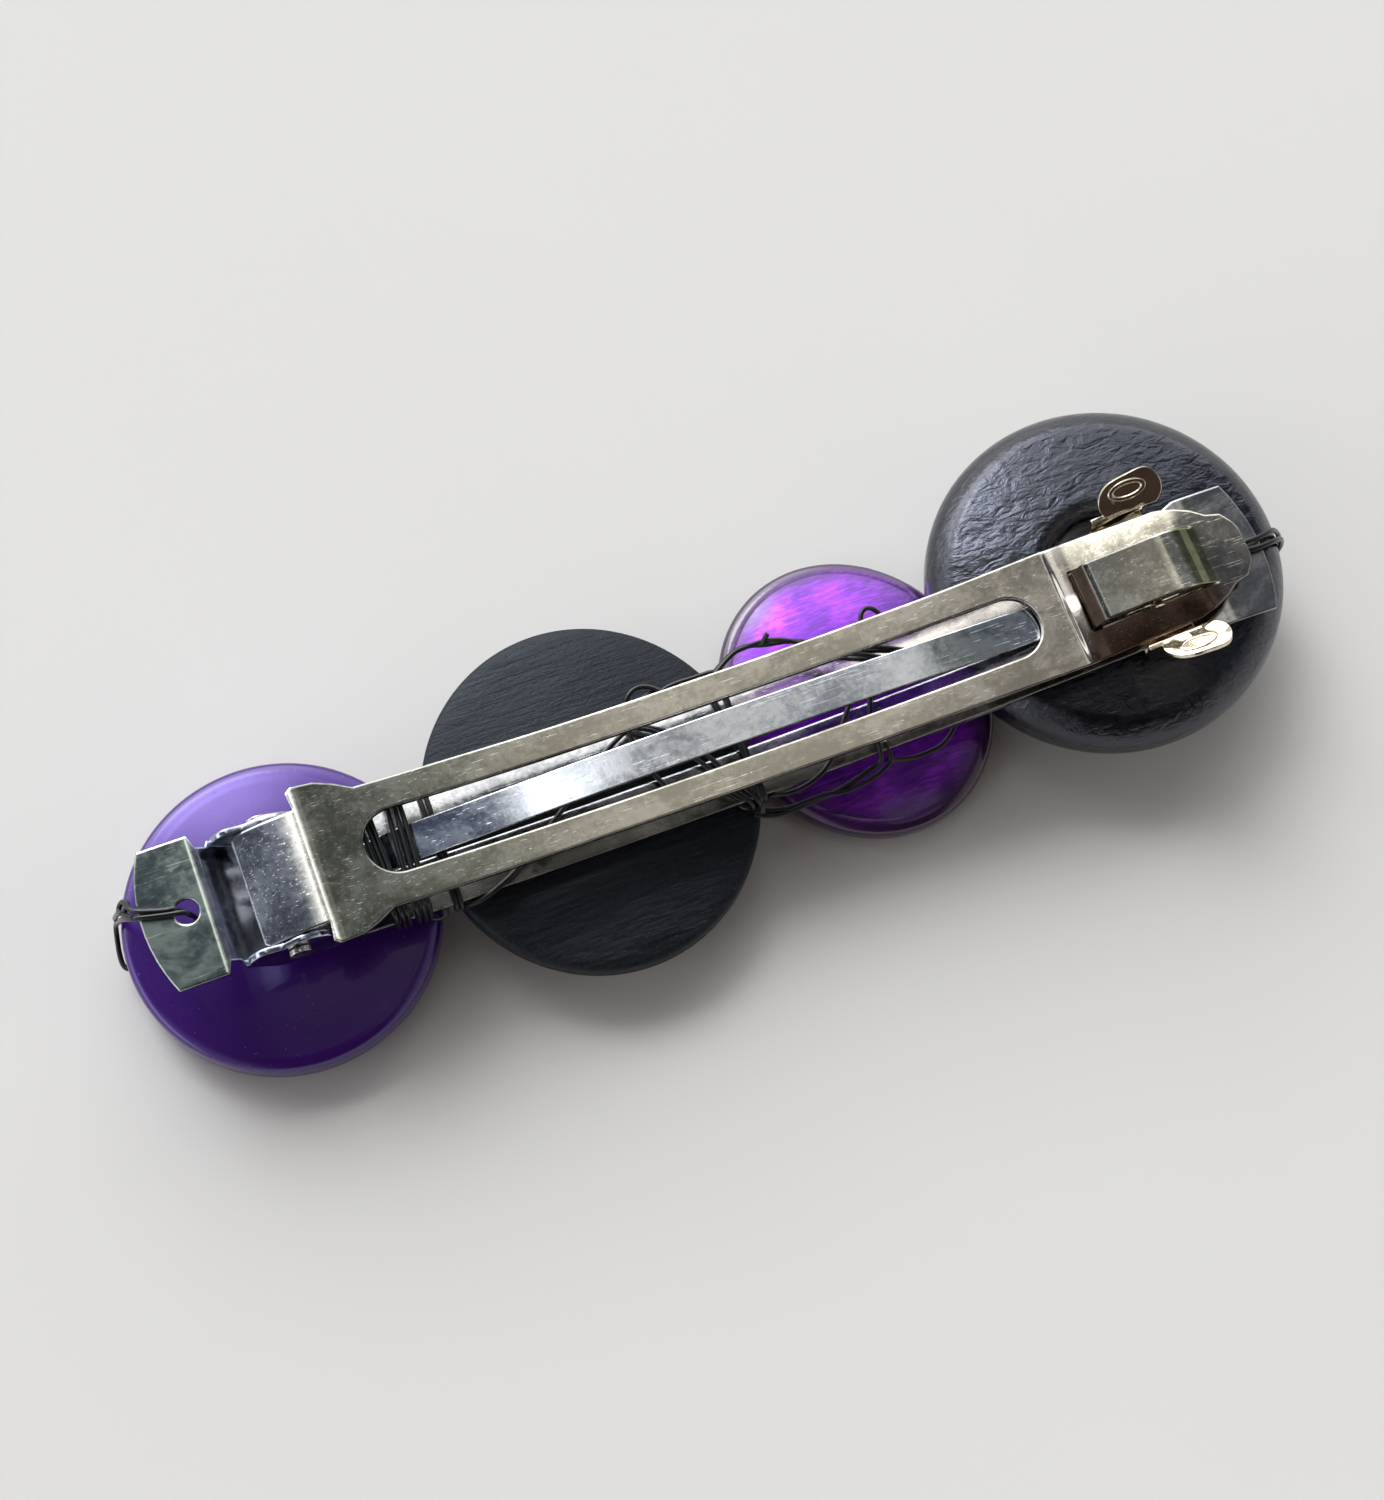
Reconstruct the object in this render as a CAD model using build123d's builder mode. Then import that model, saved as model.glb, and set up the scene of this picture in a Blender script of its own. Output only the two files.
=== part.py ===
"""Hair barrette: a sprung clasp of pressed sheet metal with four discs wired to its back.

It lies face down on the discs, with the clasp closed. X runs along the clip towards the latch,
Z points up out of the hair side, and the origin is the middle of the whole thing's footprint.
Lengths are in millimetres. Heights called "drop" are measured down from the end tabs.
"""
import os
from math import asin, cos, radians, sin, tan

from build123d import *

# Clasp as a whole
CLIP_LENGTH = 80.0
SEAT_GAP = 0.2
RUN_GAP = 0.1
SIT_GAP = 0.05
BOW_MARGIN = 0.6
HALF = CLIP_LENGTH / 2

# Places along the clip: in from its ends, then rightward from the pin, then leftward from the latch
PIN_IN, LATCH_IN = 9.0, 8.7
CREST_IN, STRIP_IN, ARM_SLOT_IN, NECK_IN, BASE_SLOT_IN, LIP_IN = 2.6, 2.6, 6.0, 6.6, 7.0, 12.0
STRIP_SHORT, LIP_SHORT, BRIDGE_SHORT, STEP_SHORT = 4.3, 4.3, 5.1, 5.7
BASE_SLOT_SHORT, ARM_SLOT_SHORT = 7.3, 8.0
TAIL_PAST, RAIL_PAST, BRIDGE_PAST, TONGUE_PAST = 2.0, 3.0, 3.9, 7.1
PIN_X = -HALF + PIN_IN
LATCH_X = HALF - LATCH_IN

# Discs: centre along and across the clip, radius, thickness
PURPLE_X, PURPLE_Y, PURPLE_R, PURPLE_T = -31.55, -0.2, 10.8, 4.2
BLACK_X, BLACK_Y, BLACK_R, BLACK_T = -9.2, 0.2, 11.6, 5.2
PEARL_X, PEARL_Y, PEARL_R, PEARL_T = 11.35, 1.45, 9.4, 3.3
DONUT_X, DONUT_Y, DONUT_R, DONUT_T = 30.4, 2.6, 12.7, 4.8
BLACK_STRETCH = 1.07
PEARL_STRETCH = 1.137
PEARL_TURN = 15.0
FRONT_STOCK = 0.02

# Disc sections: radius of the flat front, heights where the rim starts and ends, crown of the back
PURPLE_SECTION = (7.2, 1.5, 2.9, 0.45)
BLACK_SECTION = (7.4, 3.1, 4.3, 0.35)
PEARL_SECTION = (5.6, 1.0, 1.5, 0.9)

# Donut
DONUT_HOLE_R = 3.9
DONUT_HOLE_DX, DONUT_HOLE_DY = 0.2, 0.1
DONUT_LIFT = 3.0
DONUT_TILT = 3.0
DONUT_HOLE_ROUNDING, DONUT_RIM_ROUNDING = 1.44, 2.016

# Base plate
BASE_SHEET = 0.4
BASE_BOW = 4.4
BASE_LOW_X = -12.0
BASE_WIDTH = 8.6
BASE_LIP = 0.4
BASE_SLOT = 1.5
BASE_SLOT_FROM, BASE_SLOT_TO = PIN_X + BASE_SLOT_IN, LATCH_X - BASE_SLOT_SHORT
TAB_WIDTH = 9.7
TAB_LENGTH = 4.6
TAB_BULGE = 1.05
TAB_HOLE_R = 0.85
TAB_HOLE_IN = 3.0
TAB_RUN_OUT = 0.6
NECK_RUN = 3.1
NECK_BLEND = 3.0
NECK_NOTCH = 0.45

# Base plate's outline: notches and ears from the end of the left tab, and the tabs' corners
NOTCH_FROM, NOTCH_TO = 0.1, 0.7
EARS_FROM, EARS_RUN_OUT = 0.9, 0.7
TAB_CORNER, TAB_TAPER, TAB_END = 0.2, 1.5, 0.9
LIP_FROM, LIP_TO = PIN_X + LIP_IN, LATCH_X - LIP_SHORT

# Hinge
PIN_DROP = 1.45
PIN_R = 0.45
PIN_HEAD_R = 0.75
PIN_HEAD = 0.35
EAR_SHEET = 0.4
EAR_LENGTH = 5.6
EAR_ROOT_FROM, EAR_ROOT_TO = -1.3, 2.6
CHEEK_R = 1.05
CHEEK_RISE = 0.9
CHEEK_SHEET = 0.45

# Wavy top edge of an ear, about the pin: (along, up)
EAR_WAVE = [(-3.35, 0.25), (-2.9, 1.0), (-2.1, 1.45), (-1.0, 1.2), (0.1, 1.6), (1.3, 1.4), (2.2, 0.6)]

# Clasp arm
ARM_SHEET = 0.5
ARM_WIDTH = 8.3
ARM_TAIL_WIDTH = 7.9
ARM_SHOULDER_WIDTH = 11.0
ARM_TAIL_X = PIN_X - TAIL_PAST
ARM_CREST_X = PIN_X + CREST_IN
ARM_NECK_X = PIN_X + NECK_IN
ARM_SLOT_FROM, ARM_SLOT_TO = PIN_X + ARM_SLOT_IN, LATCH_X - ARM_SLOT_SHORT
ARM_SLOT = 4.5
ARM_STEP_X = LATCH_X - STEP_SHORT
ARM_SAG = 1.17
ARM_LOW_X = 1.8
ARM_RISE = 1.302812
ARM_BEND = ARM_RISE / (ARM_STEP_X - ARM_LOW_X) ** 2
ARM_CREST_DIP = 0.25
TAIL_DROP = 1.3
TONGUE_LIFT = 0.95
RAIL_TO = LATCH_X + RAIL_PAST
BRIDGE_FROM, BRIDGE_TO = LATCH_X - BRIDGE_SHORT, LATCH_X + BRIDGE_PAST
BRIDGE_WIDTH, BRIDGE_RISE = 4.4, 1.15
BRIDGE_CLIMB, BRIDGE_FALL = 0.8, 1.75
BRIDGE_FOOT, BRIDGE_ROOT = 0.1, 0.5
BRIDGE_BENDS = (0.2, 0.3, 0.9, 0.35)
ARM_TONGUE_X = LATCH_X + TONGUE_PAST
RAIL_TILT = 9.3

# Arm's outline: shoulders by place from the pin and inset, waist by place and swell, tongue past the rails
SHOULDER_INSETS = [(2.3, 0.3), (2.7, 0.0), (4.2, 0.1), (5.4, 0.55)]
WAIST_SWELLS = [(ARM_NECK_X, 0.15), (-17.2, 0.1), (-10.5, 0.02), (3.0, 0.0), (17.5, 0.1)]
WAIST_SWELLS += [(ARM_STEP_X - 0.6, 0.25)]
TONGUE_INSETS = [(-1.0, 0.0), (0.4, 0.4), (1.4, 0.85), (2.3, 1.5), (3.3, 1.75)]
TONGUE_CORNER, TONGUE_TIP = (0.25, 2.5), 1.0
TAIL_CORNER, TAIL_RUN = 0.3, 2.45
TAIL_CURL = (1.7, 0.58, 0.8)

# Tension strip
STRIP_SHEET = 0.35
STRIP_WIDTH = 2.5
STRIP_FROM, STRIP_TO = PIN_X + STRIP_IN, LATCH_X - STRIP_SHORT
STRIP_FOOT, STRIP_CURL, STRIP_FOOT_BEND = 2.0, 0.05, 0.4
STRIP_END_DROP = 1.1

# Top of the strip's arch: (place, drop, reach of the bend)
STRIP_ARCH = [(STRIP_FROM + 5.2, 1.95, 1.2), (-6.0, 0.6, 8.0), (13.0, 0.5, 9.0)]

# Latch
LATCH_SHEET = 0.3
LATCH_PIVOT_Y = 1.6
LATCH_LENGTH = 3.8
HOOK_OVER = 0.28
HOOK_LENGTH = 0.6
FINGER_X = 1.1
FINGER_LENGTH = 4.4
FINGER_REACH = 2.4
FINGER_FLARE = 55.0
WALL_GAP = 0.5
WALL_RISE = 0.35
DISH_R = 0.9
DISH_RISE = 0.12
DISH_UP = 0.15

# Outline of a finger plate, as shares of its length along the clip and of its reach
FINGER_LEAF = [(-0.4, -0.08), (-0.5, 0.4), (-0.34, 0.82), (0.08, 1.0)]
FINGER_LEAF += [(0.42, 0.96), (0.52, 0.72), (0.4, -0.08)]

# Wire
WIRE_R = 0.21
BORE_R = 0.45
STRING_Z = 2.0
WRAP_GAP = 0.12
WRAP_TURNS = 4
WRAP_IN = 3.3
WRAP_STEP = 0.62
WRAP_CORNER = 0.45
WRAP_LEAN, MIDDLE_LEAN = 0.215, 0.344
WRAP_DROP, WRAP_CLIMB = 1.75, 0.1
MIDDLE_TURNS_X = (0.4, 4.6, 11.6)
STRING_DEPTH, TAB_WIRE_DEPTH = 2.4, 1.6
STRING_RISE_X = DONUT_X - 2.2
STRING_BENDS = [0.5, 0.5, 1.2, 0.3, 1.0]
TAB_WIRE_Y = 0.35
TAB_WIRE_RIM = (2.2, -0.4)
TAB_WIRE_UNDER = [(2.0, 0.3), (4.5, 0.55)]
TAB_WIRE_BENDS = [0.35, 0.5, 1.0, 0.8, 1.0]

# Heights that follow from what rests on what
BASE_LOW = BLACK_T + SEAT_GAP + BASE_LIP + BASE_SHEET
TAB_Z = BASE_LOW + BASE_BOW
PIN_Z = TAB_Z - PIN_DROP
DONUT_Z = DONUT_LIFT + DONUT_T / 2
EAR_IN = ARM_TAIL_WIDTH / 2 + RUN_GAP
EAR_OUT = EAR_IN + EAR_SHEET

# Frame: the middle of the footprint is the origin
RIM_WIRE = 2 * WIRE_R + WRAP_GAP
LEFT_END = PURPLE_X - PURPLE_R - RIM_WIRE
RIGHT_END = DONUT_X + DONUT_R * cos(radians(DONUT_TILT)) + RIM_WIRE
BLACK_REACH = BLACK_R * BLACK_STRETCH
LOW_SIDE = min(BLACK_Y - BLACK_REACH, PURPLE_Y - PURPLE_R, DONUT_Y - DONUT_R)
HIGH_SIDE = max(DONUT_Y + DONUT_R, BLACK_Y + BLACK_REACH)
MID_X = (LEFT_END + RIGHT_END) / 2
MID_Y = (LOW_SIDE + HIGH_SIDE) / 2
PLAN = Plane(origin=(-MID_X, -MID_Y, 0))
SIDE = Plane(origin=(-MID_X, -MID_Y, 0), x_dir=(1, 0, 0), z_dir=(0, -1, 0))
ACROSS = Plane(origin=(-MID_X, -MID_Y, 0), x_dir=(0, 1, 0), z_dir=(1, 0, 0))
TALL = 3 * TAB_Z


def bent_line(points, reaches):
    """Draw straight runs with a tangent arc round each inner point, from its reach before to after."""
    last = points[0]
    for before, corner, after, reach in zip(points, points[1:], points[2:], reaches):
        run_in = (corner - before).normalized()
        run_out = (after - corner).normalized()
        quarter = radians(run_in.get_angle(run_out)) / 4
        start = corner - run_in * reach
        middle = corner + (run_out - run_in).normalized() * reach * tan(quarter)
        Line(last, start)
        arc = ThreePointArc(start, middle, corner + run_out * reach)
        last = arc @ 1
    Line(last, points[-1])


def side_of_sheet(corners, thickness):
    """Close the side view of a bent sheet whose top face runs through (x, z, reach) corners."""
    tops = [Vector(x, z) for x, z, _ in corners]
    runs = [(after - before).normalized() for before, after in zip(tops, tops[1:])]
    normals = [Vector(run.Y, -run.X) for run in runs]
    unders = [tops[0] + normals[0] * thickness]
    under_reaches = []
    for top, before, after, corner in zip(tops[1:], normals, normals[1:], corners[1:]):
        unders.append(top + (before + after) * (thickness / (1 + before.dot(after))))
        rising = 1 if before.cross(after).Z > 0 else -1
        turn = radians(before.get_angle(after))
        under_reaches.append(max(corner[2] + rising * thickness * tan(turn / 2), 0.05))
    unders.append(tops[-1] + normals[-1] * thickness)
    with BuildLine() as outline:
        bent_line(tops, [corner[2] for corner in corners[1:-1]])
        bent_line(unders, under_reaches)
        Line(tops[0], unders[0])
        Line(tops[-1], unders[-1])
    make_face(outline.edges())


def mirrored_outline(half_widths):
    """Close a plan outline from (x, half width) stations, the same on both sides of the clip."""
    with BuildLine() as outline:
        Polyline(*half_widths, *[(x, -y) for x, y in reversed(half_widths)], close=True)
    make_face(outline.edges())


def base_corners():
    """Top face of the base plate: tab, drop to the neck, long bow, tab."""
    neck_x = -HALF + TAB_LENGTH + NECK_RUN
    tab_x = HALF - TAB_LENGTH + TAB_RUN_OUT
    left_slope = bow_slope(neck_x + NECK_BLEND)
    right_slope = bow_slope(tab_x)
    neck_z = TAB_Z - BASE_BOW + bow_rise(neck_x + NECK_BLEND) - NECK_BLEND * left_slope
    bow_x = (TAB_Z - neck_z + left_slope * neck_x - right_slope * tab_x) / (left_slope - right_slope)
    bow_z = neck_z + left_slope * (bow_x - neck_x)
    reach = 0.97 * min(bow_x - neck_x, tab_x - bow_x) - BOW_MARGIN
    return [
        (-HALF, TAB_Z, 0),
        (-HALF + TAB_LENGTH, TAB_Z, 0.4),
        (neck_x, neck_z, 0.6),
        (bow_x, bow_z, reach),
        (tab_x, TAB_Z, 0.5),
        (HALF, TAB_Z, 0),
    ]


def bow_slope(x):
    """Slope of the base plate's bow, which climbs by BASE_BOW from its low point to the right tab."""
    return 2 * BASE_BOW * (x - BASE_LOW_X) / (HALF - TAB_LENGTH + TAB_RUN_OUT - BASE_LOW_X) ** 2


def bow_rise(x):
    """Height of the base plate's top above its low point."""
    return bow_slope(x) * (x - BASE_LOW_X) / 2


def base_top(x):
    """Height of the base plate's top face at a place along the bow."""
    return BASE_LOW + bow_rise(x)


def arm_top(x):
    """Height of the arm's top face, an even bow between the crest and the step."""
    return TAB_Z - ARM_SAG + ARM_BEND * (x - ARM_LOW_X) ** 2


def donut_plane(height):
    """Plane square to the tilted donut's axis, at a height above its middle."""
    tilt = radians(DONUT_TILT)
    normal = Vector(-sin(tilt), 0, cos(tilt))
    middle = Vector(DONUT_X - MID_X, DONUT_Y - MID_Y, DONUT_Z)
    return Plane(origin=middle + normal * height, x_dir=(cos(tilt), 0, sin(tilt)), z_dir=normal)


def half_disc(radius, thickness, flat, rim_low, rim_high, crown):
    """Half section of a disc: front with stock to face off, drawn-in edge, rim and crowned back."""
    shoulder = Vector(radius * 0.9, thickness - crown)
    dome = (shoulder.X**2 + crown**2) / (2 * crown)
    half_angle = asin(shoulder.X / dome) / 2
    crest = Vector(dome * sin(half_angle), thickness - dome * (1 - cos(half_angle)))
    with BuildLine() as outline:
        front = Line((0, -FRONT_STOCK), (flat, -FRONT_STOCK))
        low = Bezier(front @ 1, (radius - (radius - flat) * 0.25, -FRONT_STOCK), (radius, rim_low))
        rim = Line(low @ 1, (radius, rim_high))
        high = Bezier(rim @ 1, (radius, shoulder.Y), shoulder)
        back = ThreePointArc(high @ 1, crest, (0, thickness))
        Line(back @ 1, front @ 0)
    make_face(outline.edges())


def face_off():
    """Cut the running disc flat where it lies on the surface."""
    with BuildSketch(PLAN) as stock:
        Rectangle(2 * CLIP_LENGTH, CLIP_LENGTH)
    extrude(stock.sketch, amount=-2 * FRONT_STOCK, mode=Mode.SUBTRACT)


def string_bore(x, reach):
    """Drill the running part along the clip for the string wire."""
    with BuildSketch(ACROSS.offset(x - reach)) as hole:
        with Locations((0, STRING_Z)):
            Circle(BORE_R)
    extrude(hole.sketch, amount=2 * reach, mode=Mode.SUBTRACT)


# Left disc, glossy purple
with BuildPart() as purple_disc:
    with BuildSketch(SIDE.offset(-PURPLE_Y).shift_origin((PURPLE_X - MID_X, PURPLE_Y - MID_Y, 0))):
        half_disc(PURPLE_R, PURPLE_T, *PURPLE_SECTION)
    revolve(axis=Axis((PURPLE_X - MID_X, PURPLE_Y - MID_Y, 0), (0, 0, 1)))
    face_off()
    string_bore(PURPLE_X, PURPLE_R + 1)

# Second disc, thick matte black
with BuildPart() as black_disc:
    with BuildSketch(SIDE.offset(-BLACK_Y).shift_origin((BLACK_X - MID_X, BLACK_Y - MID_Y, 0))):
        half_disc(BLACK_R, BLACK_T, *BLACK_SECTION)
    revolve(axis=Axis((BLACK_X - MID_X, BLACK_Y - MID_Y, 0), (0, 0, 1)))
    scale(by=(1, BLACK_STRETCH, 1), about=(BLACK_X - MID_X, BLACK_Y - MID_Y, 0))
    face_off()
    string_bore(BLACK_X, BLACK_R + 1)

# Third disc, oval and pearly
with BuildPart() as pearl_disc:
    with BuildSketch(SIDE.offset(-PEARL_Y).shift_origin((PEARL_X - MID_X, PEARL_Y - MID_Y, 0))):
        half_disc(PEARL_R, PEARL_T, *PEARL_SECTION)
    revolve(axis=Axis((PEARL_X - MID_X, PEARL_Y - MID_Y, 0), (0, 0, 1)))
    scale(by=(1, PEARL_STRETCH, 1), about=(PEARL_X - MID_X, PEARL_Y - MID_Y, 0))
    pearl_axis = Axis((PEARL_X - MID_X, PEARL_Y - MID_Y, 0), (0, 0, 1))
    add(pearl_disc.part.rotate(pearl_axis, PEARL_TURN), mode=Mode.REPLACE)
    face_off()
    string_bore(PEARL_X, PEARL_R * PEARL_STRETCH + 1)

# Right disc, a glossy black donut that leans up towards the latch
with BuildPart() as donut_disc:
    with BuildSketch(donut_plane(-DONUT_T / 2)):
        Circle(DONUT_R)
        with Locations((DONUT_HOLE_DX, DONUT_HOLE_DY)):
            Circle(DONUT_HOLE_R, mode=Mode.SUBTRACT)
    extrude(amount=DONUT_T)
    hole_edges = donut_disc.edges().filter_by(GeomType.CIRCLE).sort_by(SortBy.RADIUS)[:2]
    fillet(hole_edges, radius=DONUT_HOLE_ROUNDING)
    rim_edges = donut_disc.edges().filter_by(GeomType.CIRCLE).sort_by(SortBy.RADIUS)[-2:]
    fillet(rim_edges, radius=DONUT_RIM_ROUNDING)

# Base plate: tabs, hinge ears and slotted bow with its edges turned down
tab_end = -HALF + TAB_LENGTH
ears_end = tab_end + EARS_FROM + EAR_LENGTH
with BuildPart() as base_plate:
    with BuildSketch(SIDE):
        side_of_sheet(base_corners(), BASE_SHEET)
    extrude(amount=TAB_WIDTH, both=True)
    with BuildSketch(PLAN):
        with BuildLine():
            tab = TAB_WIDTH / 2
            rail = BASE_WIDTH / 2
            notch = EAR_OUT - NECK_NOTCH
            corners = [(-HALF + TAB_BULGE, tab), (tab_end - TAB_CORNER, tab), (tab_end + NOTCH_FROM, notch)]
            corners += [(tab_end + NOTCH_TO, notch), (tab_end + EARS_FROM, EAR_OUT)]
            corners += [(ears_end, EAR_OUT), (ears_end + EARS_RUN_OUT, rail)]
            corners += [(HALF - TAB_LENGTH - TAB_TAPER, rail), (HALF - TAB_LENGTH, tab)]
            corners += [(HALF - TAB_END, tab)]
            upper = Polyline(*corners)
            lower = Polyline(*[(x, -y) for x, y in corners])
            ThreePointArc(upper @ 0, (-HALF, 0), lower @ 0)
            ThreePointArc(upper @ 1, (HALF, 0), lower @ 1)
        make_face()
        with Locations((-HALF + TAB_HOLE_IN, 0), (HALF - TAB_HOLE_IN, 0)):
            Circle(TAB_HOLE_R, mode=Mode.SUBTRACT)
        with Locations(((BASE_SLOT_FROM + BASE_SLOT_TO) / 2, 0)):
            SlotOverall(BASE_SLOT_TO - BASE_SLOT_FROM, BASE_SLOT, mode=Mode.SUBTRACT)
    extrude(amount=TALL, mode=Mode.INTERSECT)
    for lip_y in (BASE_WIDTH / 2, -BASE_WIDTH / 2 + BASE_SHEET):
        with BuildSketch(SIDE.offset(-lip_y)):
            side_of_sheet(base_corners(), BASE_LIP + BASE_SHEET)
            with Locations(((LIP_FROM + LIP_TO) / 2, TAB_Z)):
                Rectangle(LIP_TO - LIP_FROM, TALL, mode=Mode.INTERSECT)
        extrude(amount=BASE_SHEET)
    for ear_y in (EAR_OUT, -EAR_IN):
        with BuildSketch(SIDE.offset(-ear_y)):
            floor = base_top(PIN_X) - BASE_SHEET / 2
            with BuildLine():
                points = [(PIN_X + x, PIN_Z + z) for x, z in EAR_WAVE]
                Spline(*points)
                Polyline(points[-1], (PIN_X + EAR_ROOT_TO, floor), (PIN_X + EAR_ROOT_FROM, floor), points[0])
            make_face()
            with Locations((PIN_X, PIN_Z)):
                Circle(PIN_R + SIT_GAP / 2, mode=Mode.SUBTRACT)
        extrude(amount=EAR_SHEET)

# Hinge pin with its two small heads
with BuildPart() as hinge_pin:
    with BuildSketch(SIDE.offset(-EAR_OUT - SIT_GAP)):
        with Locations((PIN_X, PIN_Z)):
            Circle(PIN_R)
    extrude(amount=2 * (EAR_OUT + SIT_GAP))
    for head_y in (EAR_OUT + SIT_GAP + PIN_HEAD, -EAR_OUT - SIT_GAP):
        with BuildSketch(SIDE.offset(-head_y)):
            with Locations((PIN_X, PIN_Z)):
                Circle(PIN_HEAD_R)
        extrude(amount=PIN_HEAD)

# Clasp arm: curled tail, shoulders, slotted bow, raised bridge between two rails, tongue
rail_slope = tan(radians(RAIL_TILT))
step_z = arm_top(ARM_STEP_X)
crest_z = arm_top(ARM_CREST_X) - ARM_CREST_DIP
tail_z = crest_z - TAIL_DROP


def rail_top(x):
    """Height of the rails' top face, which climb from the step towards the latch end."""
    return step_z + rail_slope * (x - ARM_STEP_X)


def tongue_top(x):
    """Height of the tongue's top face, between the end of the rails and its tip."""
    share = (x - RAIL_TO) / (ARM_TONGUE_X - RAIL_TO)
    return rail_top(RAIL_TO) * (1 - share) + (TAB_Z + TONGUE_LIFT + ARM_SHEET) * share


def arm_corners():
    """Top face of the arm from the end of the tail to the tip of the tongue."""
    low_z = TAB_Z - ARM_SAG
    left_x = ARM_CREST_X + (crest_z - low_z) / (2 * ARM_BEND * (ARM_LOW_X - ARM_CREST_X))
    right_x = ARM_STEP_X - (step_z - low_z) / (2 * ARM_BEND * (ARM_STEP_X - ARM_LOW_X))
    left_reach = min(ARM_LOW_X - left_x, left_x - ARM_CREST_X) - BOW_MARGIN
    right_reach = min(right_x - ARM_LOW_X, ARM_STEP_X - right_x) - BOW_MARGIN
    curl_x, curl_share, curl_reach = TAIL_CURL
    return [
        (ARM_TAIL_X, tail_z, 0),
        (ARM_TAIL_X + curl_x, tail_z + curl_share * TAIL_DROP, curl_reach),
        (ARM_CREST_X, crest_z, 0.5),
        (left_x, low_z, left_reach),
        (right_x, low_z, right_reach),
        (ARM_STEP_X, step_z, 0.3),
        (RAIL_TO, rail_top(RAIL_TO), 0.5),
        (ARM_TONGUE_X, tongue_top(ARM_TONGUE_X), 0),
    ]


with BuildPart() as clasp_arm:
    with BuildSketch(SIDE):
        side_of_sheet(arm_corners(), ARM_SHEET)
    extrude(amount=ARM_SHOULDER_WIDTH, both=True)
    with BuildSketch(PLAN):
        half = ARM_WIDTH / 2
        shoulder = ARM_SHOULDER_WIDTH / 2
        tail = ARM_TAIL_WIDTH / 2
        stations = [(ARM_TAIL_X, tail - TAIL_CORNER), (ARM_TAIL_X + TAIL_CORNER, tail)]
        stations += [(PIN_X + TAIL_RUN, tail)]
        stations += [(PIN_X + x, shoulder - inset) for x, inset in SHOULDER_INSETS]
        stations += [(x, half + swell) for x, swell in WAIST_SWELLS]
        stations += [(RAIL_TO + x, half - inset) for x, inset in TONGUE_INSETS]
        stations += [(ARM_TONGUE_X - TONGUE_CORNER[0], half - TONGUE_CORNER[1]), (ARM_TONGUE_X, TONGUE_TIP)]
        mirrored_outline(stations)
        with Locations(((ARM_SLOT_FROM + ARM_SLOT_TO) / 2, 0)):
            SlotOverall(ARM_SLOT_TO - ARM_SLOT_FROM, ARM_SLOT, mode=Mode.SUBTRACT)
        with Locations(((BRIDGE_FROM + BRIDGE_TO) / 2, 0)):
            Rectangle(BRIDGE_TO - BRIDGE_FROM, BRIDGE_WIDTH, mode=Mode.SUBTRACT)
    extrude(amount=TALL, mode=Mode.INTERSECT)
    with BuildSketch(SIDE):
        start_x = BRIDGE_FROM + BRIDGE_FOOT
        end_x = BRIDGE_TO - BRIDGE_FOOT
        rise_x = start_x + BRIDGE_CLIMB
        fall_x = end_x - BRIDGE_FALL
        bridge = [
            (BRIDGE_FROM - BRIDGE_ROOT, rail_top(BRIDGE_FROM - BRIDGE_ROOT), 0),
            (start_x, rail_top(start_x), BRIDGE_BENDS[0]),
            (rise_x, rail_top(rise_x) + BRIDGE_RISE, BRIDGE_BENDS[1]),
            (fall_x, rail_top(fall_x) + BRIDGE_RISE, BRIDGE_BENDS[2]),
            (end_x, tongue_top(end_x), BRIDGE_BENDS[3]),
            (BRIDGE_TO + BRIDGE_ROOT, tongue_top(BRIDGE_TO + BRIDGE_ROOT), 0),
        ]
        side_of_sheet(bridge, ARM_SHEET)
    extrude(amount=(BRIDGE_WIDTH - RUN_GAP) / 2, both=True)
    for cheek_y in (ARM_TAIL_WIDTH / 2, -ARM_TAIL_WIDTH / 2 + CHEEK_SHEET):
        with BuildSketch(SIDE.offset(-cheek_y)):
            with Locations((PIN_X, PIN_Z)):
                Circle(CHEEK_R)
            with BuildLine():
                rise = tail_z + CHEEK_RISE - ARM_SHEET - PIN_Z
                Polyline(
                    (PIN_X - CHEEK_R, PIN_Z),
                    (PIN_X - CHEEK_R, PIN_Z + rise * 0.7),
                    (PIN_X + CHEEK_R, PIN_Z + rise * 1.25),
                    (PIN_X + CHEEK_R, PIN_Z),
                    close=True,
                )
            make_face()
            with Locations((PIN_X, PIN_Z)):
                Circle(PIN_R + SIT_GAP, mode=Mode.SUBTRACT)
        extrude(amount=CHEEK_SHEET)

# Tension strip: seated on the neck, arched up through the arm's slot
strip_seat = base_top(STRIP_FROM) + SIT_GAP + STRIP_SHEET
with BuildPart() as tension_strip:
    with BuildSketch(SIDE):
        heights = [(STRIP_FROM, strip_seat + STRIP_CURL, 0)]
        heights += [(STRIP_FROM + STRIP_FOOT, strip_seat, STRIP_FOOT_BEND)]
        heights += [(x, TAB_Z - drop, reach) for x, drop, reach in STRIP_ARCH]
        heights += [(STRIP_TO, TAB_Z - STRIP_END_DROP, 0)]
        side_of_sheet(heights, STRIP_SHEET)
    extrude(amount=STRIP_WIDTH / 2, both=True)

# Latch, built square to the base plate's slope under the bridge
tilt = radians(RAIL_TILT)
latch_origin = Vector(LATCH_X - MID_X, -MID_Y, base_top(LATCH_X) + SIT_GAP)
LATCH = Plane(origin=latch_origin, x_dir=(0, 1, 0), z_dir=(cos(tilt), 0, sin(tilt)))
rail_z = (rail_top(LATCH_X) - base_top(LATCH_X) - SIT_GAP) * cos(tilt)
rail_edge = BRIDGE_WIDTH / 2
rail_outer = ARM_WIDTH / 2 + 0.12

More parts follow.
